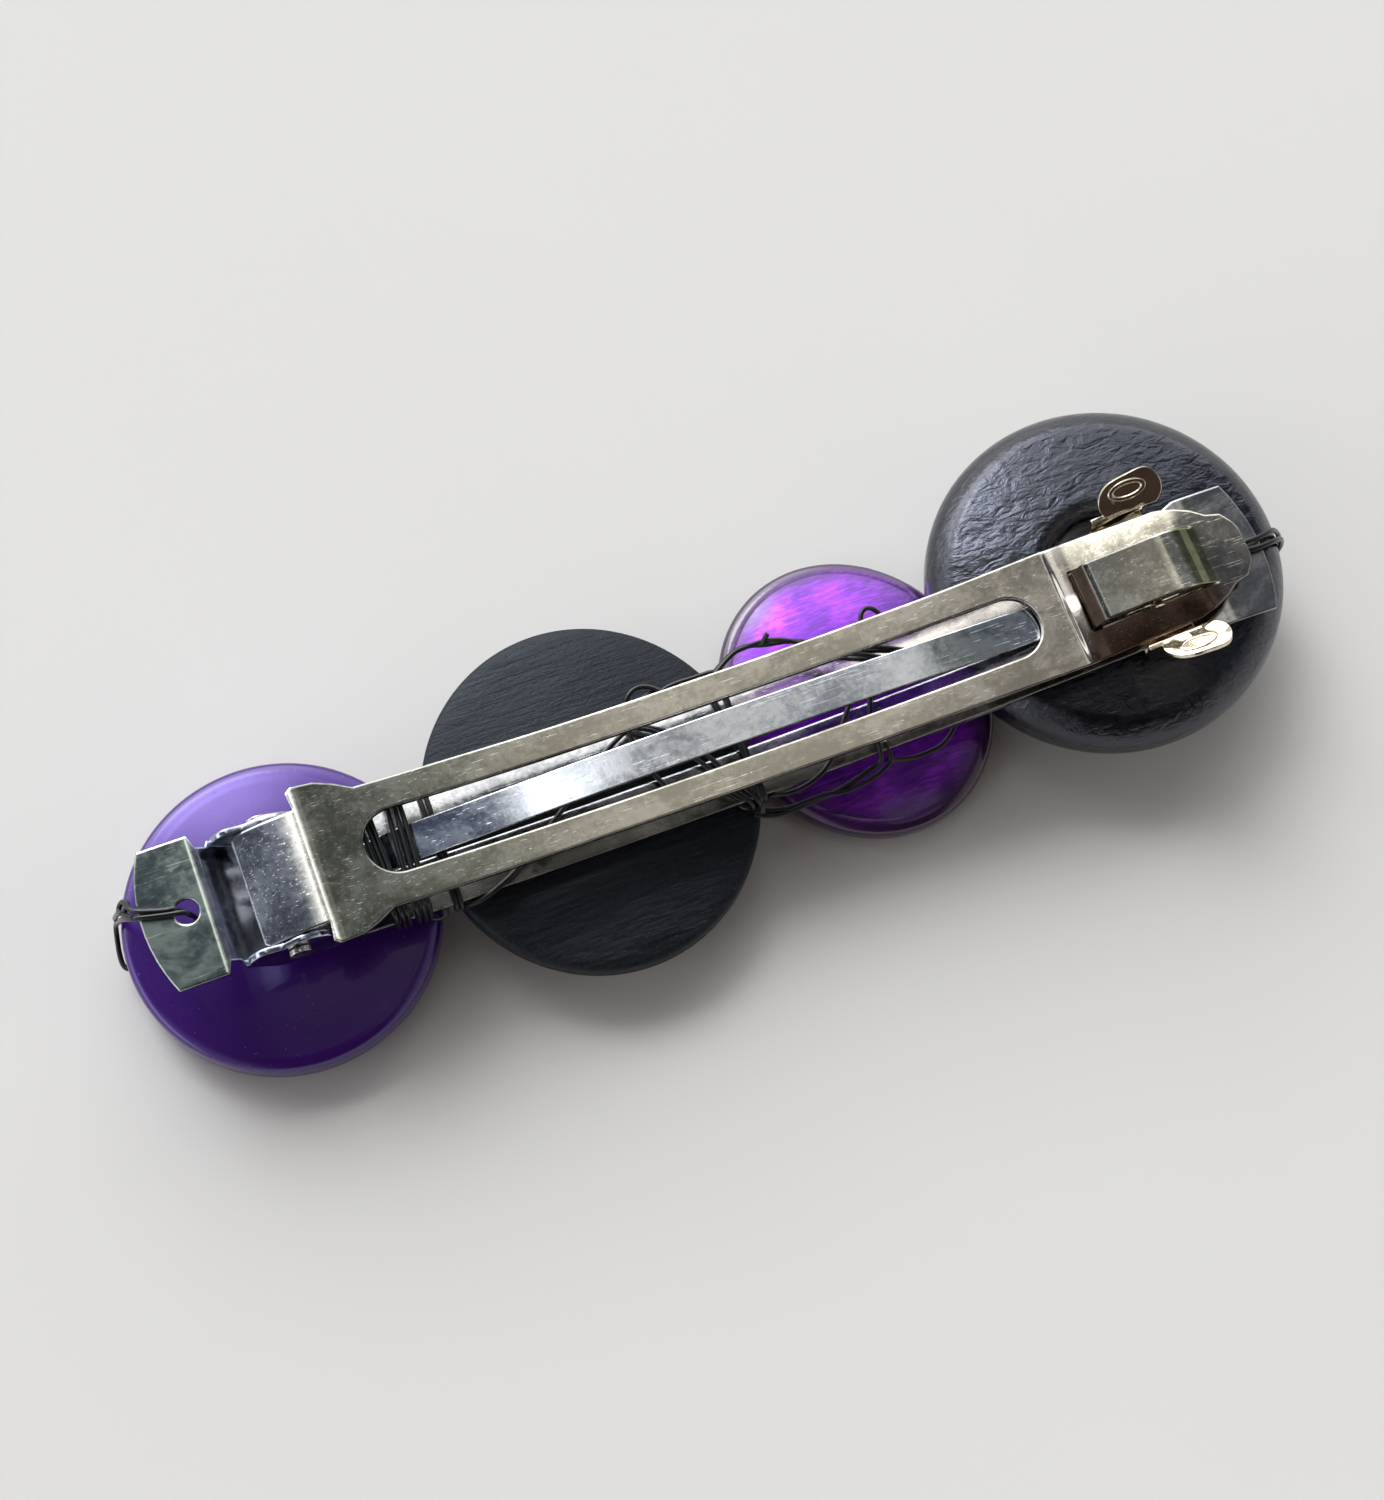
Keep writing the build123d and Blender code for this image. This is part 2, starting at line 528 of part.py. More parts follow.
with BuildPart() as latch_web:
    with BuildSketch(LATCH.offset(-LATCH_LENGTH / 2)):
        with Locations((0, LATCH_SHEET / 2)):
            Rectangle(2 * (LATCH_PIVOT_Y - SIT_GAP), LATCH_SHEET)
    extrude(amount=LATCH_LENGTH)


def latch_wing(side):
    """One sprung wing: floor under the rail, hook over its inner edge, finger plate outside."""
    wall = rail_outer + WALL_GAP
    wall_top = rail_z + WALL_RISE
    floor = LATCH_SHEET
    hook_z = rail_z + SIT_GAP
    with BuildSketch(LATCH.offset(-LATCH_LENGTH / 2)) as section:
        with BuildLine():
            Polyline(
                (side * LATCH_PIVOT_Y, 0),
                (side * (wall + floor), 0),
                (side * (wall + floor), wall_top),
                (side * wall, wall_top),
                (side * wall, floor),
                (side * LATCH_PIVOT_Y, floor),
                close=True,
            )
        make_face()
    extrude(section.sketch, amount=LATCH_LENGTH)
    with BuildSketch(LATCH.offset(-HOOK_LENGTH / 2)) as hook:
        with BuildLine():
            inner = rail_edge - RUN_GAP - floor
            Polyline(
                (side * inner, floor / 2),
                (side * inner, hook_z + floor),
                (side * (rail_edge + HOOK_OVER), hook_z + floor * 0.8),
                (side * (rail_edge + HOOK_OVER), hook_z),
                (side * (inner + floor), hook_z),
                (side * (inner + floor), floor / 2),
                close=True,
            )
        make_face()
    extrude(hook.sketch, amount=HOOK_LENGTH)
    flare = radians(FINGER_FLARE)
    root = LATCH.from_local_coords(Vector(side * (wall + floor / 2), wall_top - floor / 2, FINGER_X))
    along = LATCH.z_dir
    out = LATCH.x_dir * (side * sin(flare)) + LATCH.y_dir * cos(flare)
    finger = Plane(origin=root, x_dir=along, z_dir=along.cross(out))
    with BuildSketch(finger.offset(-floor / 2)) as plate:
        with BuildLine() as leaf:
            rim = Spline(*[(FINGER_LENGTH * across, FINGER_REACH * up) for across, up in FINGER_LEAF])
            Line(rim @ 1, rim @ 0)
        make_face(leaf.edges())
    extrude(plate.sketch, amount=floor)
    with BuildSketch(finger.offset(-floor / 2 - DISH_RISE)) as dish:
        with Locations((0, FINGER_REACH / 2 + DISH_UP)):
            Ellipse(DISH_R * 1.5, DISH_R * 0.75)
            Ellipse(DISH_R * 1.15, DISH_R * 0.45, mode=Mode.SUBTRACT)
    extrude(dish.sketch, amount=floor + 2 * DISH_RISE)


with BuildPart() as latch_wing_upper:
    latch_wing(1)

with BuildPart() as latch_wing_lower:
    latch_wing(-1)


def wire_along(points, bends):
    """Sweep the wire along straight runs joined by bends, given as (x, y, z) about the clip."""
    places = [Vector(x - MID_X, y - MID_Y, z) for x, y, z in points]
    with BuildLine() as path:
        FilletPolyline(*places, radius=bends)
    with BuildSketch(Plane(origin=path.line @ 0, z_dir=path.line % 0)) as section:
        Circle(WIRE_R)
    sweep(section.sketch, path=path.line)


def wire_ring(x, lean, low, high, near, far):
    """One closed turn of wire round a box across the clip, leaning along it by a little."""
    half = BASE_WIDTH / 2
    tilt_plane = Plane(origin=(x - MID_X, -MID_Y, 0), x_dir=(lean, half, 0), z_dir=(half, -lean, 0))
    with BuildLine() as path:
        corners = [(near, low), (far, low), (far, high), (near, high)]
        ring = [tilt_plane.from_local_coords(Vector(y, z, 0)) for y, z in corners]
        FilletPolyline(*ring, radius=WRAP_CORNER, close=True)
    with BuildSketch(Plane(origin=path.line @ 0, z_dir=path.line % 0)) as section:
        Circle(WIRE_R)
    sweep(section.sketch, path=path.line)


# String wire: over the left tab, through three discs, under the donut and up its hole
with BuildPart() as string_wire:
    over_tab = TAB_Z + WIRE_R + WRAP_GAP
    route = [
        (-HALF + TAB_HOLE_IN, 0, TAB_Z - STRING_DEPTH),
        (-HALF + TAB_HOLE_IN, 0, over_tab),
        (-HALF - 0.6, 0, over_tab),
        (LEFT_END + WIRE_R, 0, TAB_Z / 2),
        (LEFT_END + WIRE_R, 0, STRING_Z),
        (STRING_RISE_X, 0, STRING_Z),
        (STRING_RISE_X, 0, base_top(STRING_RISE_X) - BASE_SHEET - WRAP_GAP),
    ]
    wire_along(route, STRING_BENDS)

# Two turns of wire from the right tab over the donut's rim
with BuildPart() as right_tab_wire:
    for y in (-TAB_WIRE_Y, TAB_WIRE_Y):
        outer = RIGHT_END - WIRE_R
        loop = [
            (HALF - TAB_HOLE_IN, y, TAB_Z - TAB_WIRE_DEPTH),
            (HALF - TAB_HOLE_IN + 0.2 * y, y, TAB_Z + WIRE_R + WRAP_GAP),
            (HALF + 0.7, y, TAB_Z + WIRE_R + WRAP_GAP),
            *[(outer, y, DONUT_Z + up) for up in TAB_WIRE_RIM],
            *[(outer - run, y, DONUT_LIFT - drop) for run, drop in TAB_WIRE_UNDER],
        ]
        wire_along(loop, TAB_WIRE_BENDS)

# Turns of wire that tie the strip's end, and the middle of the base plate
with BuildPart() as strip_wrap:
    for turn in range(WRAP_TURNS):
        x = STRIP_FROM + WRAP_IN + WRAP_STEP * turn
        low = base_top(x) - BASE_SHEET - BASE_LIP - WRAP_GAP - WIRE_R
        high = TAB_Z - WRAP_DROP + WRAP_GAP + WIRE_R + WRAP_CLIMB * turn
        wide = BASE_WIDTH / 2 + WRAP_GAP + WIRE_R
        wire_ring(x, WRAP_LEAN, low, high, -wide, wide)

with BuildPart() as middle_wrap:
    for x in MIDDLE_TURNS_X:
        low = base_top(x) - BASE_SHEET - BASE_LIP - WRAP_GAP - WIRE_R
        high = base_top(x) + WRAP_GAP + WIRE_R
        wide = BASE_WIDTH / 2 + WRAP_GAP + WIRE_R
        wire_ring(x, MIDDLE_LEAN, low, high, -wide, wide)

# Write each piece
PIECES = {
    "purple_disc": purple_disc,
    "black_disc": black_disc,
    "pearl_disc": pearl_disc,
    "donut_disc": donut_disc,
    "base_plate": base_plate,
    "hinge_pin": hinge_pin,
    "clasp_arm": clasp_arm,
    "tension_strip": tension_strip,
    "latch_web": latch_web,
    "latch_wing_upper": latch_wing_upper,
    "latch_wing_lower": latch_wing_lower,
    "string_wire": string_wire,
    "right_tab_wire": right_tab_wire,
    "strip_wrap": strip_wrap,
    "middle_wrap": middle_wrap,
}
os.makedirs("parts", exist_ok=True)
for name, piece in PIECES.items():
    piece.part.label = name
    export_step(piece.part, f"parts/{name}.step")
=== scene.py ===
"""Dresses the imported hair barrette: worn steel clasp, resin, wood and lacquer discs, wound wire."""

import bmesh
import bpy
from mathutils import Matrix, Vector


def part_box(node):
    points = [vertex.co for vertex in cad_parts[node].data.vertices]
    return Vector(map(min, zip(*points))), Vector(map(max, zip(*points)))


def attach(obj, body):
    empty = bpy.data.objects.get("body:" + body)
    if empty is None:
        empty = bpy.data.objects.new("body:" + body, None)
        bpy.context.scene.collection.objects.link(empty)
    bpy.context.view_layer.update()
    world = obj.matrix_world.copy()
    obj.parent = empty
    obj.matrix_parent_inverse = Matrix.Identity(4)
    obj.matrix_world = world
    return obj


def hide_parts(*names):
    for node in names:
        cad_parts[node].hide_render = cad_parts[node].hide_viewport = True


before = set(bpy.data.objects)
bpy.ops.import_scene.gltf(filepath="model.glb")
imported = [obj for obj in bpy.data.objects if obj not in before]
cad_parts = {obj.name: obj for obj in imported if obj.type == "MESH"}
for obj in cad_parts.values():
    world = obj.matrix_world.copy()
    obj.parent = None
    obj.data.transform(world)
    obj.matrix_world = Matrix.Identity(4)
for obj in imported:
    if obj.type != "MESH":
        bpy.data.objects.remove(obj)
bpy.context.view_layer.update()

MM = 0.001

# Camera, fitted to the two end tabs: its target in millimetres from the clip's middle
CAMERA_TARGET = Vector((-2.5, -0.85, 10.6))
CAMERA_RIGHT = Vector((0.93362, -0.35481, 0.04964))
CAMERA_UP = Vector((0.32275, 0.89309, 0.31340))
CAMERA_BACK = Vector((-0.15553, -0.27657, 0.94832))
CAMERA_DISTANCE = 155.0
CAMERA_FOCAL_PIXELS = 2331.0
PICTURE_HEIGHT = 1500.0
SENSOR = 36.0

# Clasp and wire, in millimetres
BASE_WIDTH = 8.6
WIRE_R = 0.18

# Places along the clip that the painted reflections and shade and the pressed shapes follow, in
# millimetres from its middle
TAB_EDGE = -35.4
CREST = -28.4
CREASE = 25.9
BRIDGE = 27.0
BRIDGE_FALL = 33.5
BRIDGE_END = 35.3

# Square of the bridge's share of the base plate's width
BRIDGE_HALF = 0.265

base_low, base_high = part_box("base_plate")
CLIP_MIDDLE = (base_low + base_high) / 2


class Reading:
    """A value that varies over a surface. Arithmetic on it adds the Math nodes it needs."""

    def __init__(self, finish, socket):
        self.finish = finish
        self.socket = socket

    def sum(self, operation, first, second):
        return self.finish.node("ShaderNodeMath", {"operation": operation}, {0: first, 1: second})

    def __add__(self, other):
        return self.sum("ADD", self, other)

    def __radd__(self, other):
        return self.sum("ADD", other, self)

    def __sub__(self, other):
        return self.sum("SUBTRACT", self, other)

    def __rsub__(self, other):
        return self.sum("SUBTRACT", other, self)

    def __mul__(self, other):
        return self.sum("MULTIPLY", self, other)

    def __rmul__(self, other):
        return self.sum("MULTIPLY", other, self)

    def __truediv__(self, other):
        return self.sum("DIVIDE", self, other)


class Nodes:
    """A node tree, with a short way to add each node that its patterns need."""

    def __init__(self, tree):
        self.tree = tree

    def node(self, kind, settings=(), sockets=(), output=0):
        """Add a node: its settings first, then the values or links of its sockets."""
        made = self.tree.nodes.new(kind)
        for name, value in dict(settings).items():
            setattr(made, name, value)
        for key, value in dict(sockets).items():
            self.feed(made.inputs[key], value)
        return Reading(self, made.outputs[output])

    def feed(self, socket, value):
        if isinstance(value, Reading):
            self.tree.links.new(value.socket, socket)
        elif socket.type == "RGBA" and len(value) == 3:
            socket.default_value = (*value, 1)
        else:
            socket.default_value = value

    def spread(self, value, low, high, to_low=0.0, to_high=1.0):
        """Smooth step: to_low where the value is low, to_high where it is high."""
        sockets = {0: value, 1: low, 2: high, 3: to_low, 4: to_high}
        return self.node("ShaderNodeMapRange", {"interpolation_type": "SMOOTHSTEP"}, sockets)

    def band(self, value, low, full, fade, high):
        """Smooth rise from low to full, and smooth fall from fade to high."""
        return self.spread(value, low, full) * self.spread(value, high, fade)

    def ramp(self, value, low, high):
        """Straight rise from 0 where the value is low to 1 where it is high."""
        return self.node("ShaderNodeMapRange", {}, {0: value, 1: low, 2: high, 3: 0.0, 4: 1.0})

    def blend(self, factor, first, second, way="MIX"):
        settings = {"data_type": "RGBA", "blend_type": way}
        return self.node("ShaderNodeMix", settings, {0: factor, 6: first, 7: second}, output=2)

    def part_of(self, vector, axis):
        return self.node("ShaderNodeSeparateXYZ", {}, {0: vector}, output=axis)


class Finish(Nodes):
    """One material, built round its main shader from patterns in the part's own coordinates."""

    def __init__(self, name):
        self.material = bpy.data.materials.new(name)
        self.material.use_nodes = True
        super().__init__(self.material.node_tree)
        self.shader = self.tree.nodes["Principled BSDF"]
        self.place = self.node("ShaderNodeTexCoord", output="Object")

    def shade(self, **sockets):
        """Feed the main shader's sockets, named with underscores for spaces."""
        for name, value in sockets.items():
            self.feed(self.shader.inputs[name.replace("_", " ")], value)

    def along(self, axis):
        """Millimetres along X or Y from the clip's middle."""
        return self.part_of(self.place, axis) / MM - getattr(CLIP_MIDDLE, axis.lower()) / MM

    def turned(self, turn=(0, 0, 0), stretch=(1, 1, 1), centre=(0, 0, 0)):
        """The part's coordinates moved to a centre, turned and stretched."""
        moved = self.node("ShaderNodeVectorMath", {"operation": "SUBTRACT"}, {0: self.place, 1: centre})
        return self.node("ShaderNodeMapping", {}, {"Vector": moved, "Rotation": turn, "Scale": stretch})

    def noise(self, size, detail=4.0, roughness=0.55, distortion=0.0, at=None):
        """Cloudy pattern whose blots are about size millimetres wide."""
        sockets = {"Vector": at or self.place, "Scale": 1 / (size * MM), "Detail": detail}
        sockets |= {"Roughness": roughness, "Distortion": distortion}
        return self.node("ShaderNodeTexNoise", {}, sockets)

    def rounded(self, radius):
        """Normals that round the part's sharp edges off, by a radius in millimetres."""
        return self.node("ShaderNodeBevel", {"samples": 8}, {"Radius": radius * MM})

    def bump(self, height, depth, strength=1.0, normal=None):
        """Relief whose full height is depth millimetres."""
        sockets = {"Height": height, "Distance": depth * MM, "Strength": strength}
        if normal is not None:
            sockets["Normal"] = normal
        return self.node("ShaderNodeBump", {}, sockets)

    def scratches(self, turns, width, length, share):
        """Fine straight scratches lying at several turns, as a mask."""
        total = None
        for turn in turns:
            lines = self.turned((0, 0, turn), (width / length, 1, 1))
            mask = self.spread(self.noise(width, 2.0, 0.4, at=lines), share, share + 0.05)
            total = mask if total is None else total + mask
        return total


def worn_steel(name, pale, dull, smooth, rough, edge, shape=None, scored=1.0, painted_light=None):
    """Plated steel: cloudy wear that roughens it, fine scratches, and its sheet edges rolled round."""
    finish = Finish(name)
    streaky = finish.turned((0, 0, 0), (0.6, 1, 1))
    cloud = finish.noise(2.8, 7.0, 0.64, 0.5, at=streaky)
    speck = finish.noise(0.45, 5.0, 0.7)
    fleck = finish.spread(finish.noise(0.3, 2.0, 0.5), 0.72, 0.78)
    lines = finish.scratches((0.35, -0.5, 1.3, 2.2), 0.09, 5.0, 0.7) * scored
    wear = finish.spread(cloud * 0.7 + speck * 0.3, 0.40, 0.60)
    colour = finish.blend(wear, dull, pale)
    # Painted reflections, highlights and shade along the part, where it has them, multiplied into its
    # colour
    if painted_light:
        colour = finish.blend(1.0, colour, painted_light(finish), "MULTIPLY")
    grain = finish.noise(0.2, 3.0, 0.6)
    roughness = smooth + (rough - smooth) * wear + 0.04 * grain + 0.12 * lines + 0.08 * fleck
    relief = cloud * 0.5 + speck * 0.2 + grain * 0.1 - lines * 0.3
    normal = finish.bump(relief, 0.012, 0.6, finish.rounded(edge))
    if shape:
        normal = finish.bump(shape(finish), 1.0, 1.0, normal)
    finish.shade(Base_Color=colour, Metallic=1.0, Roughness=roughness, Normal=normal)
    return finish.material


def arm_painted_light(finish):
    """Painted reflections on the arm: blue tail, bright crest and upper rail, dark shoulders, lower
    rail and brown bridge foot.
    """
    x = finish.along("X")
    across = finish.along("Y") / (BASE_WIDTH / 2)
    inside = finish.spread(across * across, BRIDGE_HALF + 0.015, BRIDGE_HALF - 0.015)
    bridge = finish.band(x, BRIDGE - 0.1, BRIDGE + 0.15, BRIDGE_END, BRIDGE_END + 0.3) * inside
    foot = finish.band(x, BRIDGE - 1.0, BRIDGE - 0.8, BRIDGE, BRIDGE + 0.15) * inside
    crest = finish.band(x, CREST - 2.0, CREST - 0.5, CREST - 0.1, CREST + 0.3)
    upper_rail = finish.spread(x, BRIDGE - 0.6, BRIDGE - 0.2) * finish.spread(across, -0.2, 0.3)
    lower_rail = finish.band(x, BRIDGE - 1.4, BRIDGE - 0.8, BRIDGE_END - 0.7, BRIDGE_END + 1.3)
    lower_rail = lower_rail * finish.spread(across, -0.5, -0.54)
    # Painted reflection: blue on the tail, darker on the shoulders, with a painted highlight on the
    # crest
    blue_tail, painted_dark_shoulders = (0.86, 0.92, 1.12), (0.50, 0.535, 0.54)
    tone = finish.blend(finish.spread(x, CREST - 0.3, CREST + 0.2), blue_tail, painted_dark_shoulders)
    tone = finish.blend(crest, tone, (1.45, 1.5, 1.6))
    # Painted reflection: paler in the middle, darker towards the right
    painted_pale_middle = finish.spread(x, -25.0, -8.0)
    tone = finish.blend(painted_pale_middle, tone, (1.0, 0.98, 0.95))
    painted_dark_right = finish.spread(x, 12.0, 20.0)
    tone = finish.blend(painted_dark_right, tone, (0.68, 0.66, 0.66))
    # Painted highlight on the upper rail from the bridge on, painted shade on the lower rail beside the
    # bridge
    tone = finish.blend(upper_rail, tone, (1.2, 1.16, 1.06))
    tone = finish.blend(lower_rail, tone, (0.32, 0.22, 0.20))
    # Bridge: painted shade on the left of its top, paler to the right, a painted highlight where its
    # fall starts and an olive painted reflection down the fall
    top = finish.blend(finish.spread(x, BRIDGE, BRIDGE + 4.5), (0.36, 0.37, 0.38), (0.60, 0.59, 0.57))
    tone = finish.blend(bridge, tone, top)
    painted_fall_highlight = finish.spread(x, BRIDGE_FALL - 1.6, BRIDGE_FALL - 0.9)
    tone = finish.blend(bridge * painted_fall_highlight, tone, (1.45, 1.45, 1.4))
    olive = finish.spread(x, BRIDGE_FALL - 0.3, BRIDGE_FALL + 0.3)
    tone = finish.blend(bridge * olive, tone, (0.50, 0.54, 0.36))
    # Painted shade on the bridge's foot, a dark brown
    return finish.blend(foot, tone, (0.12, 0.09, 0.08))


def base_painted_reflections(finish):
    """Painted reflections on the base plate: green on the left tab, blue on the neck."""
    x = finish.along("X")
    green_tab, blue_neck = (0.86, 0.98, 0.82), (0.85, 0.9, 1.05)
    tone = finish.blend(finish.spread(x, TAB_EDGE - 0.5, TAB_EDGE + 0.2), green_tab, blue_neck)
    bow = finish.spread(x, CREST - 1.6, CREST + 1.4)
    return finish.blend(bow, tone, (1.0, 0.99, 0.97))


def arm_shape(finish):
    """The crest's fall, the pressed crease before the bridge, and crowned rails, in millimetres."""
    x = finish.along("X")
    across = finish.along("Y") / (BASE_WIDTH / 2)
    crest = finish.ramp(x, CREST - 2.2, CREST - 0.1)
    crease = finish.band(x, CREASE - 1.0, CREASE, CREASE, CREASE + 1.0)
    beside = finish.band(x, BRIDGE - 1.9, BRIDGE - 1.5, BRIDGE_END - 1.1, BRIDGE_END + 0.3)
    inside = finish.spread(across * across, BRIDGE_HALF + 0.035, BRIDGE_HALF - 0.005)
    inside = inside * finish.spread(x, BRIDGE - 0.8, BRIDGE - 0.5)
    crown = finish.spread(across, 0.2, -0.2, 0.24, 0.5)
    return (1 - across * across) * beside * (1 - inside) * crown + crease * 0.07 - crest * crest * 0.17


def base_shape(finish):
    """Crown of the bow between the ears and the latch, and the lean of the left tab, in millimetres."""
    x = finish.along("X")
    across = finish.along("Y") / (BASE_WIDTH / 2)
    bow = finish.band(x, -35.0, -29.0, 32.0, 35.0)
    crown = finish.spread(across, -0.1, 0.1, 0.06, 0.32)
    lean = finish.node("ShaderNodeMath", {"operation": "MINIMUM"}, {0: x - TAB_EDGE, 1: 0.0})
    return (1 - across * across) * bow * crown + lean * 0.12


def strip_shape(finish):
    """Straighter run of the strip than its bends leave, in millimetres."""
    x = finish.along("X")
    return finish.spread(x, -27.0, -12.0) * 0.75 + finish.spread(x, 1.0, 19.0) * 0.9


def finger_shape(finish):
    """Gentle dents of the finger plates, in millimetres."""
    return finish.noise(2.0, 1.0, 0.4) * 0.45


arm_steel = worn_steel(
    "arm_steel", pale=(0.67, 0.645, 0.58), dull=(0.43, 0.415, 0.37),
    smooth=0.12, rough=0.20, edge=0.22, shape=arm_shape, scored=0.8, painted_light=arm_painted_light)
base_steel = worn_steel(
    "base_steel", pale=(0.66, 0.66, 0.665), dull=(0.40, 0.405, 0.42),
    smooth=0.10, rough=0.18, edge=0.22, shape=base_shape, scored=0.4, painted_light=base_painted_reflections)
strip_steel = worn_steel(
    "strip_steel", pale=(0.84, 0.88, 0.96), dull=(0.50, 0.54, 0.62),
    smooth=0.05, rough=0.13, edge=0.12, shape=strip_shape, scored=0.7)
latch_steel = worn_steel(
    "latch_steel", pale=(0.80, 0.73, 0.58), dull=(0.66, 0.60, 0.47),
    smooth=0.05, rough=0.11, edge=0.12, shape=finger_shape, scored=0.2)
pin_steel = worn_steel(
    "pin_steel", pale=(0.70, 0.66, 0.58), dull=(0.52, 0.49, 0.43), smooth=0.16, rough=0.28, edge=0.1)


def disc_share(finish, node):
    """Share of the way from a disc's middle to its rim."""
    low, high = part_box(node)
    reach = (high - low) / 2
    spot = finish.turned((0, 0, 0), (1 / reach.x, 1 / reach.y, 0), (low + high) / 2)
    return finish.node("ShaderNodeVectorMath", {"operation": "LENGTH"}, {0: spot}, output="Value")


def domed(finish, node, height, normal):
    """Crown a disc's back by a height in millimetres, over another relief."""
    out = disc_share(finish, node)
    inner = finish.spread(out, 1.0, 0.86)
    return finish.bump((1 - out * out) * inner, height, 1.0, normal)


def purple_resin():
    """Smooth opaque purple under a thick gloss, with faint dust marks."""
    finish = Finish("purple_resin")
    cloud = finish.noise(6.0, 3.0)
    dust = finish.spread(finish.noise(0.35, 2.0, 0.5), 0.70, 0.78)
    colour = finish.blend(cloud, (0.026, 0.003, 0.088), (0.038, 0.004, 0.13))
    colour = finish.blend(dust * 0.15, colour, (0.2, 0.16, 0.3))
    normal = domed(finish, "purple_disc", 0.5, finish.bump(finish.noise(5.0, 2.0), 0.05, 0.7))
    finish.shade(Base_Color=colour, Roughness=0.22 + 0.08 * cloud + 0.2 * dust, Normal=normal)
    finish.shade(Specular_IOR_Level=1.0, Specular_Tint=(0.50, 0.38, 1.0))
    finish.shade(Coat_Weight=0.35, Coat_Roughness=0.06)
    return finish.material


def black_wood():
    """Stained wood: matte, with fine wavy grain across the disc and a few pale scratches."""
    finish = Finish("black_wood")
    sway = finish.noise(6.0, 2.0, 0.5)
    grain_place = finish.turned((0, 0, -0.1), (0.12, 1, 1))
    grain = finish.noise(0.42, 5.0, 0.62, 0.7, at=grain_place)
    pores = finish.noise(0.28, 3.0, 0.6)
    lines = finish.scratches((0.9, 1.9, -0.2), 0.12, 3.0, 0.7)
    tone = finish.spread(grain * 0.6 + pores * 0.4, 0.36, 0.64)
    colour = finish.blend(tone, (0.002, 0.0024, 0.0035), (0.011, 0.012, 0.016))
    colour = finish.blend(lines * 0.3, colour, (0.09, 0.09, 0.10))
    relief = grain * 0.7 + pores * 0.35 + sway * 1.2 - lines * 0.2
    normal = domed(finish, "black_disc", 0.6, finish.bump(relief, 0.13, 0.9))
    finish.shade(Base_Color=colour, Roughness=0.42 + 0.14 * tone, Normal=normal)
    finish.shade(Specular_IOR_Level=0.3, Specular_Tint=(0.78, 0.88, 1.0))
    return finish.material


def pearl_shell():
    """Candy violet flakes under clear lacquer, darker towards the rim."""
    finish = Finish("pearl_shell")
    rim = finish.spread(disc_share(finish, "pearl_disc"), 0.74, 1.0)
    streak_place = finish.turned((0, 0, -0.45), (0.16, 1, 1))
    streaks = finish.noise(0.26, 4.0, 0.6, 0.8, at=streak_place)
    cloud = finish.noise(3.5, 4.0, 0.6)
    flakes = finish.spread(streaks * 0.6 + cloud * 0.5, 0.42, 0.76)
    colour = finish.blend(flakes, (0.10, 0.005, 0.28), (0.36, 0.03, 0.74))
    colour = finish.blend(rim, colour, (0.022, 0.0, 0.03))
    finish.shade(Base_Color=colour, Metallic=0.8 - 0.5 * rim, Roughness=0.40 - 0.1 * flakes)
    normal = domed(finish, "pearl_disc", 0.3, finish.bump(streaks + cloud, 0.012, 0.5))
    finish.shade(Normal=normal, Coat_Weight=1.0, Coat_Roughness=0.05)
    return finish.material


def black_lacquer():
    """Thick black lacquer that dried in fine wrinkles over the donut."""
    finish = Finish("black_lacquer")
    wrinkle_place = finish.turned((0, 0, 0.25), (0.5, 1, 1))
    wrinkles = finish.noise(0.7, 4.0, 0.55, 0.8, at=wrinkle_place)
    lumps = finish.noise(5.0, 2.0, 0.5, 0.6)
    pits = finish.noise(0.3, 3.0, 0.6)
    lines = finish.scratches((0.4, 1.7), 0.14, 4.0, 0.72)
    tone = finish.spread(wrinkles, 0.35, 0.65)
    colour = finish.blend(tone, (0.002, 0.0024, 0.0035), (0.005, 0.006, 0.009))
    colour = finish.blend(lines * 0.15, colour, (0.08, 0.08, 0.10))
    relief = wrinkles * 0.6 + lumps * 1.0 + pits * 0.1
    normal = domed(finish, "donut_disc", 1.5, finish.bump(relief, 0.20, 0.9))
    finish.shade(Base_Color=colour, Roughness=0.12 + 0.08 * tone + 0.04 * pits, Normal=normal)
    finish.shade(Specular_IOR_Level=0.65, Specular_Tint=(0.80, 0.83, 1.0))
    finish.shade(Coat_Weight=0.2, Coat_Roughness=0.1)
    return finish.material


def black_enamel():
    """Enamelled craft wire."""
    finish = Finish("black_enamel")
    wear = finish.noise(0.8, 3.0)
    colour = finish.blend(finish.spread(wear, 0.6, 0.75), (0.003, 0.003, 0.0035), (0.014, 0.013, 0.012))
    finish.shade(Base_Color=colour, Roughness=0.24 + 0.16 * wear, Normal=finish.bump(wear, 0.02, 0.4))
    return finish.material


def pale_floor():
    finish = Finish("pale_floor")
    cloud = finish.noise(60.0, 4.0)
    colour = finish.blend(cloud, (0.63, 0.613, 0.59), (0.665, 0.648, 0.625))
    finish.shade(Base_Color=colour, Roughness=0.7 + 0.1 * cloud, Normal=finish.bump(cloud, 0.1, 0.2))
    return finish.material


wire_enamel = black_enamel()
NODE_FINISHES = {
    "purple_disc": purple_resin(),
    "black_disc": black_wood(),
    "pearl_disc": pearl_shell(),
    "donut_disc": black_lacquer(),
    "base_plate": base_steel,
    "hinge_pin": pin_steel,
    "clasp_arm": arm_steel,
    "tension_strip": strip_steel,
    "latch_web": latch_steel,
    "latch_wing_upper": latch_steel,
    "latch_wing_lower": latch_steel,
    "string_wire": wire_enamel,
    "right_tab_wire": wire_enamel,
    "strip_wrap": wire_enamel,
    "middle_wrap": wire_enamel,
}
for node, finish in NODE_FINISHES.items():
    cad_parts[node].data.materials.clear()
    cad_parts[node].data.materials.append(finish)


